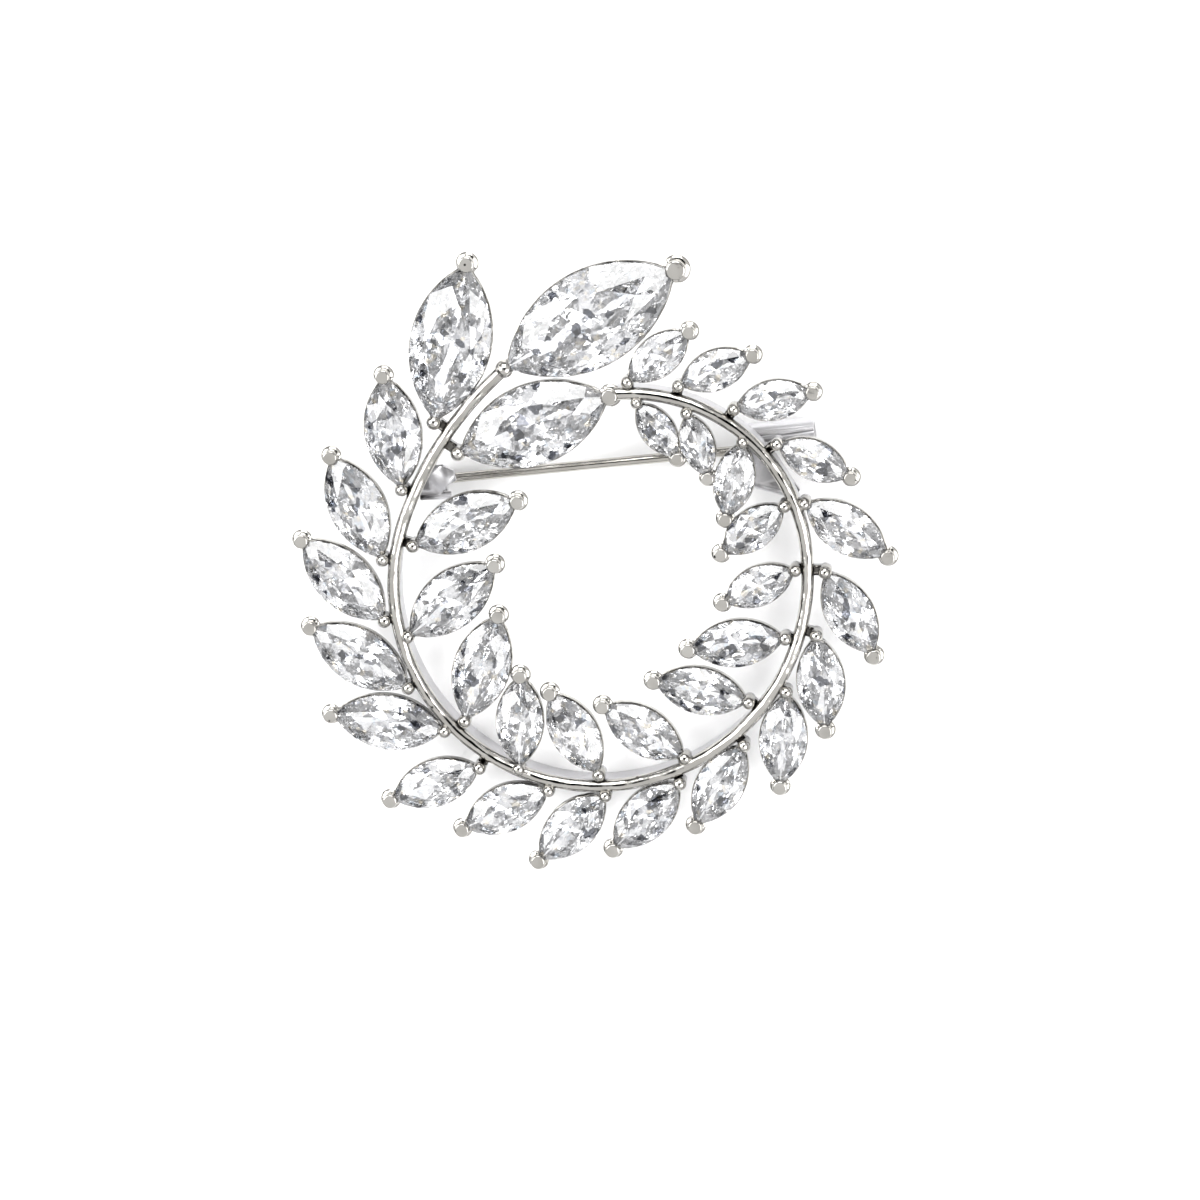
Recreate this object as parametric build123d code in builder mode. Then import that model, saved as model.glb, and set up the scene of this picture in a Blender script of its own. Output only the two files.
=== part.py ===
from build123d import *

import math
import os
from collections import namedtuple

# Leaf brooch: an open wreath of clear marquise leaves on a wire stem, silver coloured, with a pin back.
# Lengths are millimetres and angles are degrees. The wreath is laid out flat and face up, with the
# girdles of its stones at height 0, and is then laid down on its back, as it rests on a table.

# Stem: a round bead along the top edge of a thin standing wall, bent to an open hoop
hoop_radius = 15.3
bead_diameter = 0.94
bead_drop = 0.1
stem_wall = 0.5
stem_depth = 2.9

# Settings: a post with a domed head at each tip of a stone, on a rail that follows the stone
head_radius = 0.5
head_rise = 0.62
post_depth = 1.2
rail_outset = 0.08
rail_thickness = 0.4
rail_height = 0.5
rail_drop = 0.26
stalk_width = 0.75
stalk_height = 0.6
seat_gap = 0.05

# Pin back: the sheet that the hinge and the catch are folded from, the pin wire and the rivet
sheet = 0.45
solder_bite = 0.06
wire_diameter = 0.72
fold_radius = 0.28
hook_radius = 0.87
hook_length = 4.8
hook_lead = 2.6
hook_outset = 0.63
hook_lip = 0.35
hinge_reach = 1.6
ear_radius = 0.78
ear_rise = 3.0
barrel_radius = 0.62
barrel_width = 0.8
rivet_diameter = 0.6
running_gap = 0.04
side_gap = 0.08
pin_overlap = 1.75
pin_neck = 2.0
pin_taper = 4.3
pin_point = 0.08
swing_slant = 16.0

# Cut of a stone: table as a share of the girdle, heights as shares of the width, and how far out,
# as shares of the way to the girdle, the facets of the crown and of the pavilion meet
Cut = namedtuple("Cut", "table crown girdle pavilion crown_meet pavilion_meet")
marquise_cut = Cut(table=0.56, crown=0.17, girdle=0.045, pavilion=0.42, crown_meet=0.74, pavilion_meet=0.3)
girdle_sides = 16

# Sizes of leaf: the stone's length over its tips and width across its middle in hoop radii, and the
# head of its posts in head radii
LeafSize = namedtuple("LeafSize", "length width head")
leaf_sizes = {
    "grand": LeafSize(length=0.9281, width=0.4575, head=1.36),
    "large": LeafSize(length=0.7647, width=0.3856, head=1.10),
    "medium": LeafSize(length=0.5392, width=0.2712, head=1.00),
    "small": LeafSize(length=0.4510, width=0.2288, head=1.00),
    "petite": LeafSize(length=0.3660, width=0.1895, head=0.95),
    "tiny": LeafSize(length=0.3105, width=0.1601, head=0.90),
}

# Side of a post below its dome, from the top down: radius in its own head's radii, depth below the
# girdle in post depths. The post at a leaf's free end has a rounded brim round its head.
PostStep = namedtuple("PostStep", "radius depth")
base_post = [PostStep(radius=0.92, depth=1.0)]
free_post = [
    PostStep(radius=1.00, depth=0.06),
    PostStep(radius=1.30, depth=0.10),
    PostStep(radius=1.46, depth=0.16),
    PostStep(radius=1.50, depth=0.22),
    PostStep(radius=1.42, depth=0.30),
    PostStep(radius=0.95, depth=0.60),
    PostStep(radius=0.85, depth=1.0),
]

# A post stands this much outside its stone's tip, in its own head's radii
post_outset = 0.3

# Course of the stem, anticlockwise from its upper left end: bend radius in hoop radii, and turn
StemRun = namedtuple("StemRun", "radius turn")
stem_runs = [
    StemRun(radius=1.76, turn=30),
    StemRun(radius=1.00, turn=51),
    StemRun(radius=0.95, turn=64),
    StemRun(radius=1.05, turn=60),
    StemRun(radius=1.09, turn=32),
    StemRun(radius=0.84, turn=87),
]
stem_heading = 222
stem_start = Vector(-0.457, 1.118) * hoop_radius

# Leaves of the outer row, anticlockwise from the top. Station is the direction that the stem faces
# where the leaf grows, stand_off its base post's distance from the stem, as a share of the distance
# at which the post's head touches the bead, and lean its turn from straight out of the stem.
Leaf = namedtuple("Leaf", "size station stand_off lean")
outer_leaves = [
    Leaf("grand", station=132, stand_off=0.02, lean=-101),
    Leaf("large", station=145.5, stand_off=1.23, lean=-67.5),
    Leaf("medium", station=157, stand_off=0.99, lean=-58.5),
    Leaf("medium", station=173, stand_off=0.93, lean=-57),
    Leaf("medium", station=189.5, stand_off=0.95, lean=-54),
    Leaf("medium", station=208.5, stand_off=0.97, lean=-60),
    Leaf("medium", station=224, stand_off=0.72, lean=-51),
    Leaf("small", station=238, stand_off=1.26, lean=-36.5),
    Leaf("small", station=258, stand_off=0.76, lean=-52),
    Leaf("small", station=274, stand_off=0.75, lean=-48),
    Leaf("small", station=293.5, stand_off=1.03, lean=-67),
    Leaf("small", station=312.5, stand_off=1.06, lean=-72),
    Leaf("small", station=330, stand_off=0.86, lean=-63),
    Leaf("small", station=346, stand_off=1.24, lean=-70),
    Leaf("small", station=361.5, stand_off=1.32, lean=-61),
    Leaf("small", station=381.5, stand_off=0.75, lean=-53.5),
    Leaf("petite", station=401.5, stand_off=1.31, lean=-65),
    Leaf("petite", station=418, stand_off=1.18, lean=-44.5),
    Leaf("petite", station=436, stand_off=1.10, lean=-52),
    Leaf("petite", station=451.5, stand_off=0.90, lean=-51),
]

# Leaves of the inner row, anticlockwise from the top left, turned from straight into the hoop
inner_leaves = [
    Leaf("large", station=147.5, stand_off=1.44, lean=54.5),
    Leaf("medium", station=167.5, stand_off=1.18, lean=37),
    Leaf("medium", station=195, stand_off=0.60, lean=26),
    Leaf("medium", station=226, stand_off=0.98, lean=26.5),
    Leaf("small", station=248, stand_off=0.15, lean=21),
    Leaf("small", station=272.5, stand_off=0.93, lean=28),
    Leaf("small", station=297.5, stand_off=0.64, lean=30),
    Leaf("small", station=322, stand_off=1.03, lean=26.5),
    Leaf("small", station=343, stand_off=0.94, lean=25),
    Leaf("petite", station=362, stand_off=0.98, lean=24),
    Leaf("petite", station=383, stand_off=0.80, lean=15.5),
    Leaf("petite", station=409.5, stand_off=0.46, lean=28.5),
    Leaf("tiny", station=431, stand_off=0.75, lean=37.5),
    Leaf("tiny", station=448.5, stand_off=0.74, lean=38),
]

# Where the hinge and the catch sit on the stem, and how far in or out of it their centres are
hinge_station = 155.4
hinge_inset = 0.95
catch_station = 397.3
catch_outset = 0.98

# Free corners of the hinge's plate from the rivet, along and across the pin, in hinge reaches
PlateCorner = namedtuple("PlateCorner", "along across")
hinge_corners = [
    PlateCorner(along=0.33, across=-0.53),
    PlateCorner(along=0.36, across=-0.27),
    PlateCorner(along=1.00, across=0.03),
    PlateCorner(along=0.94, across=0.48),
    PlateCorner(along=0.30, across=0.78),
]
hinge_fold = [PlateCorner(along=-0.76, across=-0.60), PlateCorner(along=0.68, across=-0.66)]

# Free corners of the catch's plate from the pin's place in the hook, in hook lengths
catch_corners = [
    PlateCorner(along=-0.523, across=-0.51),
    PlateCorner(along=0.083, across=-0.742),
    PlateCorner(along=0.154, across=-0.654),
    PlateCorner(along=-0.233, across=0.05),
]


def direction(angle):
    """Unit vector that points in the given direction in the flat wreath."""
    return Vector(math.cos(math.radians(angle)), math.sin(math.radians(angle)))


def stem_point(station):
    """Point on the stem's centre line where the stem faces the given direction."""
    point = stem_start
    heading = stem_heading
    for run in stem_runs:
        turn = min(run.turn, station + 90 - heading)
        radius = run.radius * hoop_radius
        point = point + (direction(heading - 90 + turn) - direction(heading - 90)) * radius
        heading += turn
    return point


def post_head(size):
    """Radius of the domed head of a post."""
    return leaf_sizes[size].head * head_radius


def stone_size(size):
    """Length over the tips and width across the middle of a stone."""
    return leaf_sizes[size].length * hoop_radius, leaf_sizes[size].width * hoop_radius


def post_reach(size):
    """Distance from the middle of a stone to the axis of a post."""
    length, width = stone_size(size)
    return length / 2 + post_outset * post_head(size)


def leaf_place(leaf, inwards):
    """Place of a leaf's middle, turned so that the leaf's length runs along the local X axis."""
    out = direction(leaf.station)
    side = -out if inwards else out
    touch = bead_diameter / 2 + post_head(leaf.size)
    base = stem_point(leaf.station) + side * (leaf.stand_off * touch)
    angle = leaf.station + leaf.lean + (180 if inwards else 0)
    middle = base + direction(angle) * post_reach(leaf.size)
    return Location((middle.X, middle.Y, 0), (0, 0, angle))


def stalk_place(leaf, inwards):
    """Place on the stem's centre line from which a leaf's stalk runs out along the local X axis."""
    point = stem_point(leaf.station)
    return Location((point.X, point.Y, -post_depth), (0, 0, leaf.station + (180 if inwards else 0)))


def stalk_length(leaf):
    """Distance from the stem's centre line to the axis of a leaf's base post."""
    return leaf.stand_off * (bead_diameter / 2 + post_head(leaf.size))


def girdle_corners(length, width):
    """Corners of a stone's girdle, anticlockwise from one tip, each with its outward direction."""
    radius = (length ** 2 + width ** 2) / (4 * width)
    sweep = 2 * math.degrees(math.asin(length / 2 / radius))
    steps = girdle_sides // 2
    corners = []
    for side in (0, 180):
        for step in range(steps):
            angle = 90 - sweep / 2 + sweep * step / steps
            corner = direction(angle) * radius - Vector(0, radius - width / 2)
            facing = 0 if step == 0 else angle
            corners.append((corner.rotate(Axis.Z, side), direction(facing + side)))
    return corners


def crossing(first, second):
    """Point where the outlines that touch two corners of the girdle cross."""
    (a, along_a), (b, along_b) = first, second
    reach_a, reach_b = a.dot(along_a), b.dot(along_b)
    spread = along_a.X * along_b.Y - along_a.Y * along_b.X
    x = (reach_a * along_b.Y - reach_b * along_a.Y) / spread
    y = (reach_b * along_a.X - reach_a * along_b.X) / spread
    return Vector(x, y)


def facet(a, b, c):
    """Plane through three corners of a stone, facing away from the stone's middle."""
    normal = (b - a).cross(c - a)
    return Plane(origin=a, z_dir=normal if normal.dot(a) > 0 else -normal)


def main_facets(corners, tip_height, flat_height, share):
    """Planes that touch every second corner of the girdle and lean in towards the stone's middle."""
    planes = []
    for corner, facing in corners[::2]:
        along = Vector(-facing.Y, facing.X)
        edge = corner + Vector(0, 0, flat_height)
        top = corner * share + Vector(0, 0, tip_height)
        planes.append(facet(edge, edge + along, top))
    return planes


def small_facets(corners, tip_height, flat_height, share, meet):
    """Planes between the main facets: two on each girdle corner, and one towards the table."""
    planes = []
    stride = len(corners)
    rise = tip_height - flat_height
    for number in range(0, stride, 2):
        first, middle, last = (corners[(number + step) % stride] for step in range(3))
        meeting = crossing(first, last) * meet
        meeting = meeting + Vector(0, 0, flat_height + rise * (1 - meet) / (1 - share))
        edge = [corner[0] + Vector(0, 0, flat_height) for corner in (first, middle, last)]
        planes.append(facet(edge[0], edge[1], meeting))
        planes.append(facet(edge[1], edge[2], meeting))
        if share > 0:
            ends = [corner[0] * share + Vector(0, 0, tip_height) for corner in (first, last)]
            planes.append(facet(ends[0], ends[1], meeting))
    return planes


def stone_facets(size, allowance):
    """Corners, heights and main facets of a stone that is larger all round by an allowance."""
    length, width = stone_size(size)
    corners = girdle_corners(length + 2 * allowance, width + 2 * allowance)
    half_girdle = width * marquise_cut.girdle / 2 + allowance
    crown = width * marquise_cut.crown + allowance
    pavilion = width * marquise_cut.pavilion + allowance
    planes = main_facets(corners, crown, half_girdle, marquise_cut.table)
    planes += main_facets(corners, -pavilion, -half_girdle, 0)
    return corners, crown, pavilion, half_girdle, planes


def rough_stone(size, allowance):
    """A stone with its main facets only: with an allowance it is the hollow of the stone's seat."""
    corners, crown, pavilion, half_girdle, planes = stone_facets(size, allowance)
    with BuildPart() as rough:
        with BuildSketch(Plane.XY.offset(-pavilion)):
            with BuildLine():
                Polyline(*[corner for corner, facing in corners], close=True)
            make_face()
        extrude(amount=pavilion + crown)
        for plane in planes:
            split(bisect_by=plane, keep=Keep.BOTTOM)
    return rough.part


def cut_stone(size):
    """A clear marquise stone with its table, its main facets and the small ones between them."""
    corners, crown, pavilion, half_girdle, planes = stone_facets(size, 0)
    small = small_facets(corners, crown, half_girdle, marquise_cut.table, marquise_cut.crown_meet)
    small += small_facets(corners, -pavilion, -half_girdle, 0, marquise_cut.pavilion_meet)
    with BuildPart() as stone:
        add(rough_stone(size, 0))
        for plane in small:
            split(bisect_by=plane, keep=Keep.BOTTOM)
    return stone.part


def marquise_ends(size, inset):
    """Half length and half width of a stone's outline moved in by an inset."""
    length, width = stone_size(size)
    radius = (length ** 2 + width ** 2) / (4 * width)
    offset_radius = radius - inset
    half_length = math.sqrt(offset_radius ** 2 - (radius - width / 2) ** 2)
    return half_length, width / 2 - inset


def post(size, steps):
    """A post with a domed head, turned round its own axis."""
    head = post_head(size)
    side = [(head * step.radius, -post_depth * step.depth) for step in steps]
    with BuildPart() as turned:
        with BuildSketch(Plane.XZ):
            with BuildLine():
                Polyline((head, head_rise - head), *side, (0, -post_depth), (0, head_rise))
                CenterArc((0, head_rise - head), head, 0, 90)
            make_face()
        revolve(axis=Axis.Z)
    return turned.part


def setting(size):
    """A stone's rail with a post at each end, before the stone's seat is cut into them."""
    with BuildPart() as mount:
        with BuildSketch(Plane.XY.offset(-rail_drop - rail_height)):
            for inset, mode in ((-rail_outset, Mode.ADD), (rail_thickness - rail_outset, Mode.SUBTRACT)):
                half_length, half_width = marquise_ends(size, inset)
                with BuildLine():
                    ThreePointArc((-half_length, 0), (0, half_width), (half_length, 0))
                    ThreePointArc((-half_length, 0), (0, -half_width), (half_length, 0))
                make_face(mode=mode)
        extrude(amount=rail_height)
        with Locations((-post_reach(size), 0)):
            add(post(size, base_post))
        with Locations((post_reach(size), 0)):
            add(post(size, free_post))
    return mount.part


# Line of the pin, from the hinge's rivet to the catch, in the flat wreath
pivot_flat = stem_point(hinge_station) - direction(hinge_station) * hinge_inset
catch_flat = stem_point(catch_station) + direction(catch_station) * catch_outset
pin_run = (catch_flat - pivot_flat).length
pin_angle = math.degrees(math.atan2((catch_flat - pivot_flat).Y, (catch_flat - pivot_flat).X))
pin_depth = stem_depth - solder_bite + sheet + hook_radius

# Frame of the pin back: local X runs along the pin, local Y up the wreath, local Z to the face. The
# rivet leans from local Y, so that the pin swings out of the mouth of the hook as it opens.
pin_frame = Plane(
    origin=pivot_flat - Vector(0, 0, pin_depth),
    x_dir=direction(pin_angle),
    z_dir=(0, 0, 1),
)
slant_frame = Plane(pin_frame.location * Rotation(-swing_slant, 0, 0))
hook_start = pin_frame.from_local_coords(Vector(pin_run - hook_lead, 0, 0))
hook_frame = Plane(origin=hook_start, x_dir=pin_frame.y_dir, z_dir=pin_frame.x_dir)
ear_gap = barrel_width + 2 * side_gap
fork_width = ear_gap + 2 * sheet


def rolled_edge(first, last):
    """The round of the sheet where it is folded under, between two places of the pin back."""
    start, end = (
        pin_frame.from_local_coords(Vector(place.X, place.Y, hook_radius + sheet / 2))
        for place in (first, last)
    )
    with BuildPart(Plane(origin=start, z_dir=end - start)) as roll:
        Cylinder(fold_radius, (end - start).length, align=(Align.CENTER, Align.CENTER, Align.MIN))
    return roll.part



with BuildLine() as stem_line:
    run_start = stem_start
    heading = stem_heading
    for run in stem_runs:
        JernArc(
            start=run_start,
            tangent=direction(heading),
            radius=run.radius * hoop_radius,
            arc_size=run.turn,
        )
        heading += run.turn
        run_start = stem_point(heading - 90)

with BuildPart() as stem:
    with BuildSketch(Plane.XY.offset(-stem_depth)):
        trace(stem_line.line, line_width=stem_wall)
    extrude(amount=stem_depth - bead_drop)
    with BuildSketch(Plane(origin=stem_start - Vector(0, 0, bead_drop), z_dir=direction(stem_heading))):
        Circle(bead_diameter / 2)
    sweep(path=stem_line.line.moved(Location((0, 0, -bead_drop))))

with BuildPart() as hinge:
    lean = math.radians(hinge_station - pin_angle)
    corners = [Vector(corner.along, corner.across) * hinge_reach for corner in hinge_corners]
    for across in (corners[-1].Y, corners[0].Y):
        corners.append(Vector((hinge_inset - across * math.sin(lean)) / math.cos(lean), across))
    with BuildSketch(pin_frame.offset(hook_radius)):
        with BuildLine():
            Polyline(*corners, close=True)
        make_face()
    extrude(amount=sheet)
    for side in (-1, 1):
        with BuildSketch(Plane(
            origin=slant_frame.origin + slant_frame.y_dir * (side * (ear_gap + sheet) / 2 + sheet / 2),
            x_dir=slant_frame.x_dir,
            z_dir=-slant_frame.y_dir,
        )):
            Circle(ear_radius)
            Rectangle(2 * ear_radius, ear_rise, align=(Align.CENTER, Align.MIN))
        extrude(amount=sheet)
    split(bisect_by=pin_frame.offset(hook_radius + sheet), keep=Keep.BOTTOM)
    add(rolled_edge(*[Vector(corner.along, corner.across) * hinge_reach for corner in hinge_fold]))
    with Locations(slant_frame.location * Rotation(90, 0, 0)):
        Cylinder(rivet_diameter / 2 + running_gap, 2 * fork_width, mode=Mode.SUBTRACT)

with BuildPart() as catch:
    with BuildSketch(hook_frame):
        with BuildLine():
            middle = hook_radius + sheet / 2
            CenterArc((hook_outset, 0), middle, -90, 180)
            Line((hook_outset, -middle), (hook_outset - hook_lip, -middle))
        trace(line_width=sheet)
    extrude(amount=hook_length)
    corners = [Vector(corner.along, corner.across) * hook_length for corner in catch_corners]
    corners = [Vector(pin_run, 0) + corner for corner in corners]
    with BuildSketch(pin_frame.offset(hook_radius)):
        with BuildLine():
            Polyline(
                *corners,
                (corners[-1].X, hook_outset),
                (pin_run - hook_lead, hook_outset),
                close=True,
            )
        make_face()
    extrude(amount=sheet)
    add(rolled_edge(corners[0], corners[1]))

leaves = [(leaf, False) for leaf in outer_leaves] + [(leaf, True) for leaf in inner_leaves]

with BuildPart() as stalks:
    for leaf, inwards in leaves:
        with Locations(stalk_place(leaf, inwards)):
            Box(stalk_length(leaf), stalk_width, stalk_height, align=(Align.MIN, Align.CENTER, Align.MIN))

settings = {size: setting(size) for size in leaf_sizes}
seats = {size: rough_stone(size, seat_gap) for size in leaf_sizes}

with BuildPart() as wreath_flat:
    add([stem.part, stalks.part, hinge.part, catch.part])
    add([settings[leaf.size].moved(leaf_place(leaf, inwards)) for leaf, inwards in leaves])
    add([seats[leaf.size].moved(leaf_place(leaf, inwards)) for leaf, inwards in leaves], mode=Mode.SUBTRACT)


def resting_points(down):
    """Lowest points of the lower ear, the hook's lip and the stem's wall for a direction of gravity."""
    rivet = slant_frame.y_dir
    rim = (down - rivet * down.dot(rivet)).normalized() * ear_radius
    ear = slant_frame.origin + rivet * (fork_width / 2) + rim
    lip = Vector(pin_run - hook_lead, hook_outset - hook_lip, -hook_radius - sheet)
    hook = pin_frame.from_local_coords(lip)
    facing = math.degrees(math.atan2(down.Y, down.X)) % 360
    wall = stem_point(facing) + direction(facing) * (stem_wall / 2) - Vector(0, 0, stem_depth)
    return ear, hook, wall


# The brooch settles on three points: the hinge, the catch and the lower side of the stem. Which
# point of each is lowest depends on the tilt, so the three are found again a few times.
settling_steps = 4
down = Vector(0, -stem_wall, -stem_depth).normalized()
for settling in range(settling_steps):
    ear, hook, wall = resting_points(down)
    down = (hook - ear).cross(wall - ear).normalized()
table = Plane(origin=wall, x_dir=Vector(0, 1, 0).cross(-down), z_dir=-down)
settled = table.location.inverse()
reach = wreath_flat.part.moved(settled).bounding_box()
rest = Location((-reach.center().X, -reach.center().Y, -reach.min.Z)) * settled

with BuildPart() as wreath_frame:
    with Locations(rest):
        add(wreath_flat.part)

cuts = {size: cut_stone(size) for size in leaf_sizes}
stones = []
for row, row_leaves, inwards in (("outer", outer_leaves, False), ("inner", inner_leaves, True)):
    for number, leaf in enumerate(row_leaves, start=1):
        with BuildPart() as stone:
            with Locations(rest * leaf_place(leaf, inwards)):
                add(cuts[leaf.size])
        stone.part.label = f"stone_{row}_{number:02d}"
        stones.append(stone)

# The pin turns about the rivet, its barrel between the ears of the hinge
pin_place = Plane(rest * slant_frame.location)
wire_radius = wire_diameter / 2
wire_length = pin_run + pin_overlap - pin_taper
from_start = (Align.CENTER, Align.CENTER, Align.MIN)

with BuildPart(pin_place) as pin_stem:
    Cylinder(barrel_radius, barrel_width, rotation=(90, 0, 0))
    Cone(barrel_width / 2, wire_radius, pin_neck, rotation=(0, 90, 0), align=from_start)
    with Locations((pin_neck, 0, 0)):
        Cylinder(wire_radius, wire_length - pin_neck, rotation=(0, 90, 0), align=from_start)
    with Locations((wire_length, 0, 0)):
        Cone(wire_radius, pin_point, pin_taper, rotation=(0, 90, 0), align=from_start)
    Cylinder(
        rivet_diameter / 2 + running_gap,
        2 * barrel_width,
        rotation=(90, 0, 0),
        mode=Mode.SUBTRACT,
    )

with BuildPart(pin_place) as hinge_rivet:
    Cylinder(rivet_diameter / 2, fork_width, rotation=(90, 0, 0))

wreath_frame.part.label = "wreath_frame"
pin_stem.part.label = "pin_stem"
hinge_rivet.part.label = "hinge_rivet"

os.makedirs("parts", exist_ok=True)
export_step(wreath_frame.part, "parts/wreath_frame.step")
export_step(pin_stem.part, "parts/pin_stem.step")
export_step(hinge_rivet.part, "parts/hinge_rivet.step")
for stone in stones:
    export_step(stone.part, f"parts/{stone.part.label}.step")

for title, vector in (
    ("rivet at", pin_place.origin),
    ("rivet along", pin_place.y_dir),
    ("pin along", pin_place.x_dir),
):
    print(title, [round(value, 7) for value in vector])
print("straight part of the pin from", pin_neck, "to", wire_length)
print("tilt of the resting wreath", math.degrees(math.acos(-down.Z)))
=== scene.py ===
import math
from collections import namedtuple

import bpy
from mathutils import Matrix, Vector, kdtree


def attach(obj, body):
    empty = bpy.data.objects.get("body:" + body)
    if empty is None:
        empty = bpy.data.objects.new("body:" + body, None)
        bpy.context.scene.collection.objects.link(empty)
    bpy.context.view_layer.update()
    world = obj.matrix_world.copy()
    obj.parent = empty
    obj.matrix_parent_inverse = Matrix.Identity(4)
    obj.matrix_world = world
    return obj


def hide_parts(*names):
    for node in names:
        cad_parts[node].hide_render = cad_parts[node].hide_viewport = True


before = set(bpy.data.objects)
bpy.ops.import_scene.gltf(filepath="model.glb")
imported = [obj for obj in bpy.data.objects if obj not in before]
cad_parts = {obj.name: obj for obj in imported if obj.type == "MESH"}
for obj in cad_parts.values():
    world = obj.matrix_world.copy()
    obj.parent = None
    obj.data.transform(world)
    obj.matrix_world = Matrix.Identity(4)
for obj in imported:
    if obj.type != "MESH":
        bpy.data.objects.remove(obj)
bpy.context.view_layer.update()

# Leaf brooch: a silver-coloured wreath of clear marquise leaves, lying on its back. Lengths are metres.
MM = 0.001

# The camera looks down on the face of the wreath, a little from its right and from its upper end
camera_aim = Vector((0.517, -2.405, 4.329)) * MM
camera_back = Vector((0.09512, 0.138536, 0.985779))
camera_up = Vector((-0.023069, 0.99031, -0.136947))
camera_distance = 315 * MM
camera_lens = 128.5
camera_near = 10 * MM

# The wreath's own face as it lies: which way it looks, and how high its stones' girdles are along that
face_axis = Vector((-0.0032, -0.0993, 0.9951)).normalized()
girdle_level = 4.545 * MM

# Angle beyond which an edge of the metalwork stays sharp
sharp_edge = math.radians(40)
weld_distance = 0.0005 * MM

# Posts at the leaves' free ends: a worn, flattened head, and a round brim outside it. Widths are in head
# radii, and heights are above the girdle.
post_outset = 0.3
head_sides = 32
head_width = 1.12
head_foot = 0.0
head_top = 0.64 * MM
head_rounding = 0.26 * MM
head_rounding_steps = 5
brim_rings = 16
brim_width = 1.56
brim_level = -0.25 * MM
brim_height = 0.27 * MM
brim_end = -0.45

# Radius of the heads on leaves of up to a length
HeadSize = namedtuple("HeadSize", "longest radius")
head_sizes = (
    HeadSize(longest=5.2 * MM, radius=0.45 * MM),
    HeadSize(longest=6.2 * MM, radius=0.475 * MM),
    HeadSize(longest=10 * MM, radius=0.5 * MM),
    HeadSize(longest=13 * MM, radius=0.55 * MM),
    HeadSize(longest=16 * MM, radius=0.68 * MM),
)

# A solid post's brim has corners within the reach of the post, and further out to both sides of the leaf's
# long line than the side value. Both are in head radii.
brim_reach = 1.6
brim_side = 1.2

# Colours: each metal and the floor vary between a dark and a bright one. The dark of the pits and the
# painted shade in the metal's corners and hollows has only one.
silver_dark = (0.36, 0.345, 0.315)
silver_bright = (0.72, 0.705, 0.675)
satin_dark = (0.66, 0.655, 0.675)
satin_bright = (0.74, 0.735, 0.755)
wire_dark = (0.44, 0.425, 0.39)
wire_bright = (0.58, 0.56, 0.52)
paper_dark = (0.90, 0.90, 0.90)
paper_bright = (0.93, 0.93, 0.93)
pit_and_shade_colour = (0.04, 0.036, 0.032)

# Depth of the fine ripple of the face and of the waves of the back, as shares of the face's broad waves
face_ripple = 0.05
back_waves = 0.15

# Cells of the stones, by a random share of each: the share from which a value holds, and the value
# The stones are colourless: their greys are painted shade, the darkest grey painted dark reflections, and
# the yellow and blue cells painted glints of fire
stone_painted_tints = (
    (0.0, (0.45, 0.46, 0.50)),
    (0.05, (1.0, 0.90, 0.72)),
    (0.08, (0.78, 0.88, 1.0)),
    (0.11, (0.90, 0.90, 0.91)),
    (0.5, (0.80, 0.805, 0.825)),
)
# Near-black painted dark reflections in a few of the larger cells
stone_painted_dark_reflections = ((0.0, (0.02, 0.022, 0.03)), (0.07, 1.0))
# Where a cell lets less light through, the rest shows its colour as painted light
stone_clearness = ((0.0, 0.90), (0.2, 0.93), (0.4, 0.955), (0.6, 0.975), (0.8, 1.0))
stone_index = 2.15

# The pin wire runs this far anticlockwise from the X axis
wire_heading = math.radians(6.8)

# Stage: a wide floor and three square soft lights round the brooch
Softbox = namedtuple("Softbox", "name place power")
floor_size = 4.0
softbox_size = 0.45
softboxes = (
    Softbox(name="left_softbox", place=(-0.45, 0.10, 0.45), power=2.8),
    Softbox(name="right_softbox", place=(0.40, -0.15, 0.50), power=2.5),
    Softbox(name="top_softbox", place=(0.0, 0.50, 0.45), power=2.8),
)

# The white tent round the brooch: how bright its walls are by the cosine from its own axis, and how bright
# the opening for the lens leaves it by the cosine from the camera's direction
tent_axis = Vector((0.10, -0.12, 0.98)).normalized()
tent_walls = ((0.0, 0.01), (0.28, 0.02), (0.38, 0.85), (0.60, 0.95))
lens_opening = ((0.0, 1.0), (0.934, 1.0), (0.943, 0.0))


# Nodes of the materials


def new_material(name):
    """A new material, its node tree and its shader."""
    material = bpy.data.materials.new(name)
    material.use_nodes = True
    return material, material.node_tree, material.node_tree.nodes["Principled BSDF"]


def add_node(tree, kind, **settings):
    node = tree.nodes.new("ShaderNode" + kind)
    for name, setting in settings.items():
        setattr(node, name, setting)
    return node


def feed(tree, socket, source):
    """Links a socket to another node's, or gives it a value of its own."""
    if isinstance(source, bpy.types.NodeSocket):
        tree.links.new(source, socket)
    else:
        socket.default_value = source


def object_pattern(tree, size, stretch=(1, 1, 1), turn=(0, 0, 0)):
    """Object coordinates scaled so that one unit of pattern is the given size."""
    coordinates = add_node(tree, "TexCoord")
    mapping = add_node(tree, "Mapping")
    mapping.inputs["Rotation"].default_value = turn
    mapping.inputs["Scale"].default_value = [share / size for share in stretch]
    tree.links.new(coordinates.outputs["Object"], mapping.inputs["Vector"])
    return mapping.outputs["Vector"]


def noise_pattern(tree, vector, detail, roughness=0.55):
    noise = add_node(tree, "TexNoise")
    noise.inputs["Scale"].default_value = 1
    noise.inputs["Detail"].default_value = detail
    noise.inputs["Roughness"].default_value = roughness
    tree.links.new(vector, noise.inputs["Vector"])
    return noise.outputs["Fac"]


def add_cells(tree, vector, metric="EUCLIDEAN"):
    cells = add_node(tree, "TexVoronoi", distance=metric)
    cells.inputs["Scale"].default_value = 1
    tree.links.new(vector, cells.inputs["Vector"])
    return cells


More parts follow.
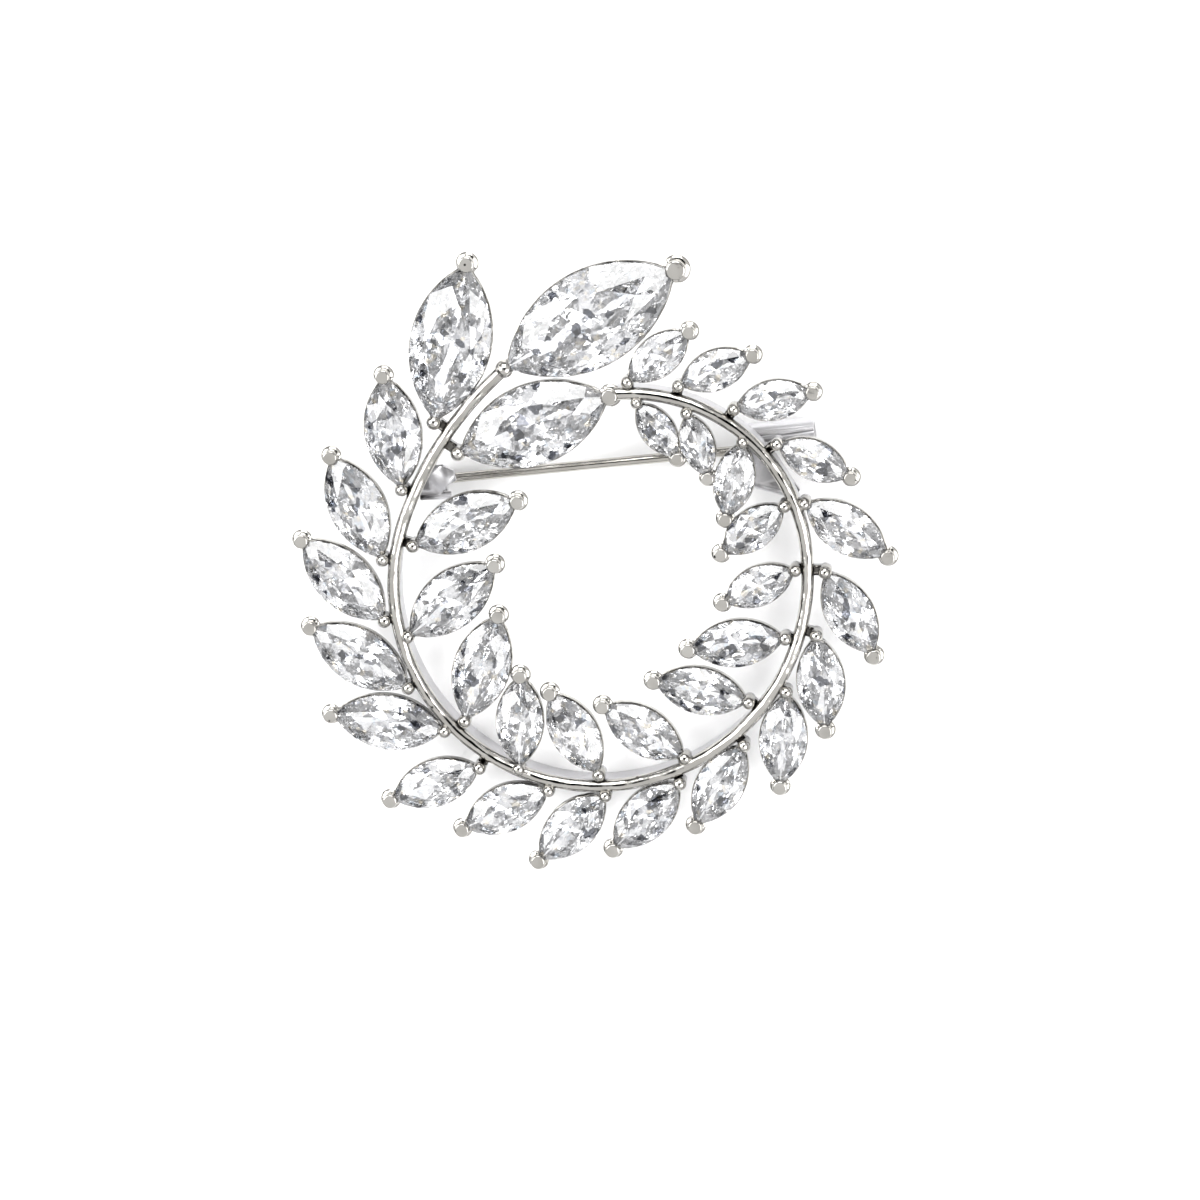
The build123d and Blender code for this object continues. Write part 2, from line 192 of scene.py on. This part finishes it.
def random_shares(tree, cells):
    """Two random shares for each cell."""
    shares = add_node(tree, "SeparateColor")
    tree.links.new(cells.outputs["Color"], shares.inputs["Color"])
    return shares.outputs["Red"], shares.outputs["Green"]


def ranged(tree, value, start, end, low=0.0, high=1.0):
    """Low where the value is at the start, high where it is at the end, and even between them."""
    node = add_node(tree, "MapRange")
    node.inputs["From Min"].default_value = start
    node.inputs["From Max"].default_value = end
    node.inputs["To Min"].default_value = low
    node.inputs["To Max"].default_value = high
    tree.links.new(value, node.inputs["Value"])
    return node.outputs["Result"]


def spread(tree, value, low, high):
    """Turns the middle of a noise pattern into a range of values."""
    return ranged(tree, value, start=0.3, end=0.7, low=low, high=high)


def stepped(tree, value, stops, blend="CONSTANT"):
    """Turns a value into the colours of a ramp; a stop's colour may be one grey."""
    ramp = add_node(tree, "ValToRGB")
    ramp.color_ramp.interpolation = blend
    elements = ramp.color_ramp.elements
    while len(elements) < len(stops):
        elements.new(0.5)
    for element, (place, colour) in zip(elements, stops):
        shades = colour if isinstance(colour, tuple) else (colour, colour, colour)
        element.position = place
        element.color = (*shades, 1)
    tree.links.new(value, ramp.inputs["Fac"])
    return ramp.outputs["Color"]


def combined(tree, operation, first, second):
    node = add_node(tree, "Math", operation=operation)
    feed(tree, node.inputs[0], first)
    feed(tree, node.inputs[1], second)
    return node.outputs["Value"]


def combined_vectors(tree, operation, first, second):
    node = add_node(tree, "VectorMath", operation=operation)
    feed(tree, node.inputs[0], first)
    feed(tree, node.inputs[1], second)
    return node


def difference(tree, first, second):
    return combined_vectors(tree, "SUBTRACT", first, second).outputs["Vector"]


def along(tree, vector, axis):
    """How far a vector goes along an axis."""
    return combined_vectors(tree, "DOT_PRODUCT", vector, axis).outputs["Value"]


def mixed_values(tree, share, first, second):
    node = add_node(tree, "Mix")
    feed(tree, node.inputs["Factor"], share)
    feed(tree, node.inputs["A"], first)
    feed(tree, node.inputs["B"], second)
    return node.outputs["Result"]


def mixed_colours(tree, share, first, second, blend="MIX"):
    node = add_node(tree, "Mix", data_type="RGBA", blend_type=blend)
    feed(tree, node.inputs["Factor"], share)
    for name, colour in (("A", first), ("B", second)):
        feed(tree, node.inputs[name], (*colour, 1) if isinstance(colour, tuple) else colour)
    return node.outputs["Result"]


def add_bump(tree, shader, height, strength, depth):
    bump = add_node(tree, "Bump")
    bump.inputs["Strength"].default_value = strength
    bump.inputs["Distance"].default_value = depth
    tree.links.new(height, bump.inputs["Height"])
    tree.links.new(bump.outputs["Normal"], shader.inputs["Normal"])


def add_leaning_cells(tree, shader, size, slope):
    """Breaks a surface into flat cells, each of which leans its own way by up to half the slope."""
    vector = object_pattern(tree, size)
    cells = add_cells(tree, vector)
    place = difference(tree, vector, cells.outputs["Position"])
    lean = difference(tree, cells.outputs["Color"], (0.5, 0.5, 0.5))
    add_bump(tree, shader, along(tree, place, lean), strength=1, depth=slope * size)


def below_face(tree, depth, blend):
    """One for the metal that lies deeper than this below the girdles, and nothing above it."""
    coordinates = add_node(tree, "TexCoord")
    height = along(tree, coordinates.outputs["Object"], face_axis)
    return ranged(tree, height, start=girdle_level - depth, end=girdle_level - depth - blend)


def painted_shade(tree, reach, clean, full, most):
    """Painted shade in the corners: none where the clean share or more is open, most at the full share or
    less.
    """
    corners = add_node(tree, "AmbientOcclusion", samples=8, only_local=True)
    corners.inputs["Distance"].default_value = reach
    return ranged(tree, corners.outputs["AO"], start=clean, end=full, high=most)


def pits(tree, size, width, share):
    """Small round pits, each in a cell of a size; width is in cells, and a share of the cells has one."""
    cells = add_cells(tree, object_pattern(tree, size))
    chosen, _ = random_shares(tree, cells)
    near = combined(tree, "LESS_THAN", cells.outputs["Distance"], width)
    return combined(tree, "MULTIPLY", near, combined(tree, "LESS_THAN", chosen, share))


# Materials


def make_plated_silver(name, waves):
    """Bright plated casting: a polished face with waves of a depth and small pits, and a satin back; its
    corners and hollows get painted shade.
    """
    material, tree, shader = new_material(name)
    shader.inputs["Metallic"].default_value = 1
    back = below_face(tree, depth=0.75 * MM, blend=0.15 * MM)
    broad = noise_pattern(tree, object_pattern(tree, size=2.2 * MM), detail=1.5)
    fine = noise_pattern(tree, object_pattern(tree, size=0.35 * MM), detail=5)

    polished = mixed_colours(tree, broad, silver_dark, silver_bright)
    satin = mixed_colours(tree, broad, satin_dark, satin_bright)
    clean = mixed_colours(tree, back, polished, satin)
    on_face = combined(tree, "LESS_THAN", back, 0.5)
    face_pits = combined(tree, "MULTIPLY", pits(tree, size=0.8 * MM, width=0.13, share=0.45), on_face)
    # Painted shade, in tight corners and in wider hollows between the parts
    corners = painted_shade(tree, reach=0.75 * MM, clean=0.78, full=0.45, most=0.92)
    hollow_shade = painted_shade(tree, reach=3.0 * MM, clean=0.80, full=0.48, most=0.70)
    # Dark pits, together with the painted shade of the corners and hollows
    dark = combined(tree, "MAXIMUM", face_pits, combined(tree, "MAXIMUM", corners, hollow_shade))
    feed(tree, shader.inputs["Base Color"], mixed_colours(tree, dark, clean, pit_and_shade_colour))

    polish = spread(tree, fine, low=0.03, high=0.10)
    brushed = spread(tree, fine, low=0.30, high=0.42)
    feed(tree, shader.inputs["Roughness"], mixed_values(tree, back, polish, brushed))
    cast = combined(tree, "ADD", combined(tree, "MULTIPLY", fine, face_ripple), broad)
    rolled = combined(tree, "MULTIPLY", broad, back_waves)
    add_bump(tree, shader, mixed_values(tree, back, cast, rolled), strength=1, depth=waves)
    return material


def make_drawn_wire():
    """Bright drawn wire, with faint lines along its length."""
    material, tree, shader = new_material("drawn_wire")
    shader.inputs["Metallic"].default_value = 1
    along_wire = object_pattern(tree, size=0.15 * MM, stretch=(0.04, 1, 1), turn=(0, 0, -wire_heading))
    lines = noise_pattern(tree, along_wire, detail=4)
    broad = noise_pattern(tree, object_pattern(tree, size=2.5 * MM), detail=3)
    feed(tree, shader.inputs["Base Color"], mixed_colours(tree, broad, wire_bright, wire_dark))
    feed(tree, shader.inputs["Roughness"], spread(tree, lines, low=0.08, high=0.20))
    add_bump(tree, shader, lines, strength=0.25, depth=0.02 * MM)
    return material


def make_clear_stone():
    """Clear colourless stone. Where its cells let less light through they show painted light; its greys
    are painted shade, a few cells carry painted glints of colour, and a few carry painted dark
    reflections.
    """
    material, tree, shader = new_material("clear_stone")
    shader.inputs["IOR"].default_value = stone_index
    shader.inputs["Roughness"].default_value = 0
    small_cells = add_cells(tree, object_pattern(tree, size=0.35 * MM))
    broad_cells = add_cells(tree, object_pattern(tree, size=0.6 * MM), "MANHATTAN")
    tint, clearness = random_shares(tree, small_cells)
    shade, _ = random_shares(tree, broad_cells)
    # Painted shade, painted glints of fire and painted dark reflections, in the stone's colour
    painted_tints = stepped(tree, tint, stone_painted_tints)
    shades = stepped(tree, shade, stone_painted_dark_reflections)
    feed(tree, shader.inputs["Base Color"], mixed_colours(tree, 1.0, painted_tints, shades, blend="MULTIPLY"))
    # Where a cell lets less light through, its painted colour shows as painted light
    feed(tree, shader.inputs["Transmission Weight"], stepped(tree, clearness, stone_clearness))
    add_leaning_cells(tree, shader, size=0.9 * MM, slope=0.05)
    return material


def make_pale_paper():
    """Smooth pale paper for the surface that the brooch lies on."""
    material, tree, shader = new_material("pale_paper")
    fibres = noise_pattern(tree, object_pattern(tree, size=3 * MM), detail=6)
    feed(tree, shader.inputs["Base Color"], mixed_colours(tree, fibres, paper_bright, paper_dark))
    shader.inputs["Roughness"].default_value = 0.75
    return material


# Tools for the pieces


def deselect_all():
    bpy.ops.object.select_all(action="DESELECT")


def select_only(piece):
    deselect_all()
    piece.select_set(True)
    bpy.context.view_layer.objects.active = piece


def rename(piece, name):
    piece.name = name
    piece.data.name = name


def give_material(piece, material):
    piece.data.materials.clear()
    piece.data.materials.append(material)


def own_copy(piece):
    """A copy of an object that has a mesh of its own."""
    copy = piece.copy()
    copy.data = piece.data.copy()
    bpy.context.scene.collection.objects.link(copy)
    return copy


def apply_place(piece):
    select_only(piece)
    bpy.ops.object.transform_apply(location=True, rotation=True, scale=True)


def join_pieces(pieces, name):
    """Joins the pieces into the first of them, and names it."""
    select_only(pieces[0])
    for piece in pieces[1:]:
        piece.select_set(True)
    bpy.ops.object.join()
    rename(pieces[0], name)
    return pieces[0]


def cut_away(piece, place, normal):
    """Leaves only the side of a piece that the normal points to, and closes the cut."""
    select_only(piece)
    bpy.ops.object.mode_set(mode="EDIT")
    bpy.ops.mesh.select_all(action="SELECT")
    bpy.ops.mesh.bisect(plane_co=place, plane_no=normal, clear_inner=True, use_fill=True)
    bpy.ops.object.mode_set(mode="OBJECT")


# Metalwork and pin


def finish_metal(node, name, body, material):
    """A smooth-shaded copy of a metal node, which stands in for it."""
    piece = own_copy(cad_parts[node])
    rename(piece, name)
    select_only(piece)
    bpy.ops.object.mode_set(mode="EDIT")
    bpy.ops.mesh.select_all(action="SELECT")
    bpy.ops.mesh.remove_doubles(threshold=weld_distance)
    bpy.ops.object.mode_set(mode="OBJECT")
    bpy.ops.object.shade_smooth_by_angle(angle=sharp_edge)
    flat_faces = piece.modifiers.new("flat_faces", "WEIGHTED_NORMAL")
    flat_faces.keep_sharp = True
    bpy.ops.object.modifier_apply(modifier=flat_faces.name)
    give_material(piece, material)
    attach(piece, body)
    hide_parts(node)


# Worn heads of the posts at the leaves' free ends


def make_flat_head():
    """A flat head with a rounded shoulder, for a post of radius 1 mm. Its lower rounding is cut away."""
    height = head_top - head_foot + 2 * head_rounding
    deselect_all()
    bpy.ops.mesh.primitive_cylinder_add(
        vertices=head_sides,
        radius=head_width * MM,
        depth=height,
        location=(0, 0, head_top - height / 2),
    )
    head = bpy.context.object
    head.data.shade_smooth()
    rounding = head.modifiers.new("rounding", "BEVEL")
    rounding.width = head_rounding
    rounding.segments = head_rounding_steps
    rounding.harden_normals = True
    bpy.ops.object.modifier_apply(modifier=rounding.name)
    apply_place(head)
    cut_away(head, (0, 0, head_foot), (0, 0, 1))
    return head


def make_brim():
    """A flattened ball for a post of radius 1 mm, cut off on the side of the leaf."""
    deselect_all()
    bpy.ops.mesh.primitive_uv_sphere_add(
        segments=head_sides,
        ring_count=brim_rings,
        radius=1,
        location=(0, 0, brim_level),
        scale=(brim_width * MM, brim_width * MM, brim_height),
    )
    brim = bpy.context.object
    brim.data.shade_smooth()
    apply_place(brim)
    cut_away(brim, (brim_end * MM, 0, 0), (1, 0, 0))
    return brim


def stone_tips(stone):
    """The two tips of a stone, at the level of the girdles."""
    points = [stone.matrix_world @ vertex.co for vertex in stone.data.vertices]
    points = [point + face_axis * (girdle_level - face_axis.dot(point)) for point in points]
    first = max(points, key=lambda point: (point - points[0]).length)
    last = max(points, key=lambda point: (point - first).length)
    return first, last


def metal_corners():
    """The corners of the metalwork, kept so that those near a place are found quickly."""
    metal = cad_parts["wreath_frame"]
    corners = kdtree.KDTree(len(metal.data.vertices))
    for number, vertex in enumerate(metal.data.vertices):
        corners.insert(metal.matrix_world @ vertex.co, number)
    corners.balance()
    return corners


def brim_found(corners, place, out, radius):
    """How many corners of a brim a post has on its poorer side. A base post has next to none."""
    across = face_axis.cross(out)
    sides = [across.dot(corner - place) for corner, _, _ in corners.find_range(place, brim_reach * radius)]
    left = sum(side > brim_side * radius for side in sides)
    right = sum(side < -brim_side * radius for side in sides)
    return min(left, right)


def free_post(stone, corners):
    """Place of the post at a leaf's free end, the way out along the leaf, and the radius of its head."""
    tips = stone_tips(stone)
    length = (tips[1] - tips[0]).length
    radius = next(size.radius for size in head_sizes if length < size.longest)
    posts = []
    for tip, other in (tips, tips[::-1]):
        out = (tip - other).normalized()
        place = tip + out * (post_outset * radius)
        posts.append((brim_found(corners, place, out, radius), place, out))
    _, place, out = max(posts, key=lambda post: post[0])
    return place, out, radius


def add_worn_heads(stones, material):
    """A head and a brim on every free post, made as one piece."""
    pattern = join_pieces([make_flat_head(), make_brim()], "worn_head")
    corners = metal_corners()
    heads = []
    for stone in stones:
        place, out, radius = free_post(stone, corners)
        head = own_copy(pattern)
        turn = Matrix((out, face_axis.cross(out), face_axis)).transposed().to_4x4()
        widening = Matrix.Diagonal((radius / MM, radius / MM, 1, 1))
        head.matrix_world = Matrix.Translation(place) @ turn @ widening
        heads.append(head)
    bpy.data.objects.remove(pattern)
    piece = join_pieces(heads, "post_heads")
    apply_place(piece)
    give_material(piece, material)
    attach(piece, "brooch")


# The brooch

plated_silver = make_plated_silver("plated_silver", waves=0.25 * MM)
worn_silver = make_plated_silver("worn_silver", waves=0.14 * MM)
drawn_wire = make_drawn_wire()
clear_stone = make_clear_stone()
stones = [piece for node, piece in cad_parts.items() if node.startswith("stone_")]

finish_metal("wreath_frame", "wreath_metalwork", "brooch", plated_silver)
finish_metal("hinge_rivet", "rivet", "brooch", drawn_wire)
finish_metal("pin_stem", "pin_wire", "pin", drawn_wire)
add_worn_heads(stones, worn_silver)

# Light passes through the stones, so they cast no shadow of their own
for stone in stones:
    give_material(stone, clear_stone)
    stone.visible_shadow = False

# Stage

deselect_all()
bpy.ops.mesh.primitive_plane_add(size=floor_size, location=(0, 0, 0))
floor = bpy.context.object
floor.name = "floor"
give_material(floor, make_pale_paper())

for softbox in softboxes:
    light = bpy.data.lights.new(softbox.name, "AREA")
    light.shape = "SQUARE"
    light.size = softbox_size
    light.energy = softbox.power
    lamp = bpy.data.objects.new(softbox.name, light)
    lamp.location = softbox.place
    lamp.rotation_euler = (-Vector(softbox.place)).to_track_quat("-Z", "Y").to_euler()
    bpy.context.scene.collection.objects.link(lamp)


def light_surroundings():
    """A white photo tent, dark along its foot, most to the upper left, and at the opening for the lens."""
    world = bpy.data.worlds.new("photo_tent")
    world.use_nodes = True
    tree = world.node_tree
    direction = add_node(tree, "TexCoord").outputs["Generated"]
    walls = stepped(tree, along(tree, direction, tent_axis), tent_walls, "LINEAR")
    opening = stepped(tree, along(tree, direction, camera_back), lens_opening, "LINEAR")
    background = tree.nodes["Background"]
    feed(tree, background.inputs["Color"], mixed_colours(tree, 1.0, walls, opening, blend="MULTIPLY"))
    background.inputs["Strength"].default_value = 1.0
    bpy.context.scene.world = world


light_surroundings()

camera_right = camera_up.cross(camera_back)
camera = bpy.data.objects.new("camera", bpy.data.cameras.new("camera"))
camera.data.lens = camera_lens
camera.data.clip_start = camera_near
camera.matrix_world = (
    Matrix.Translation(camera_aim + camera_back * camera_distance)
    @ Matrix((camera_right, camera_up, camera_back)).transposed().to_4x4()
)
bpy.context.scene.collection.objects.link(camera)
bpy.context.scene.camera = camera
bpy.context.scene.view_settings.view_transform = "Standard"
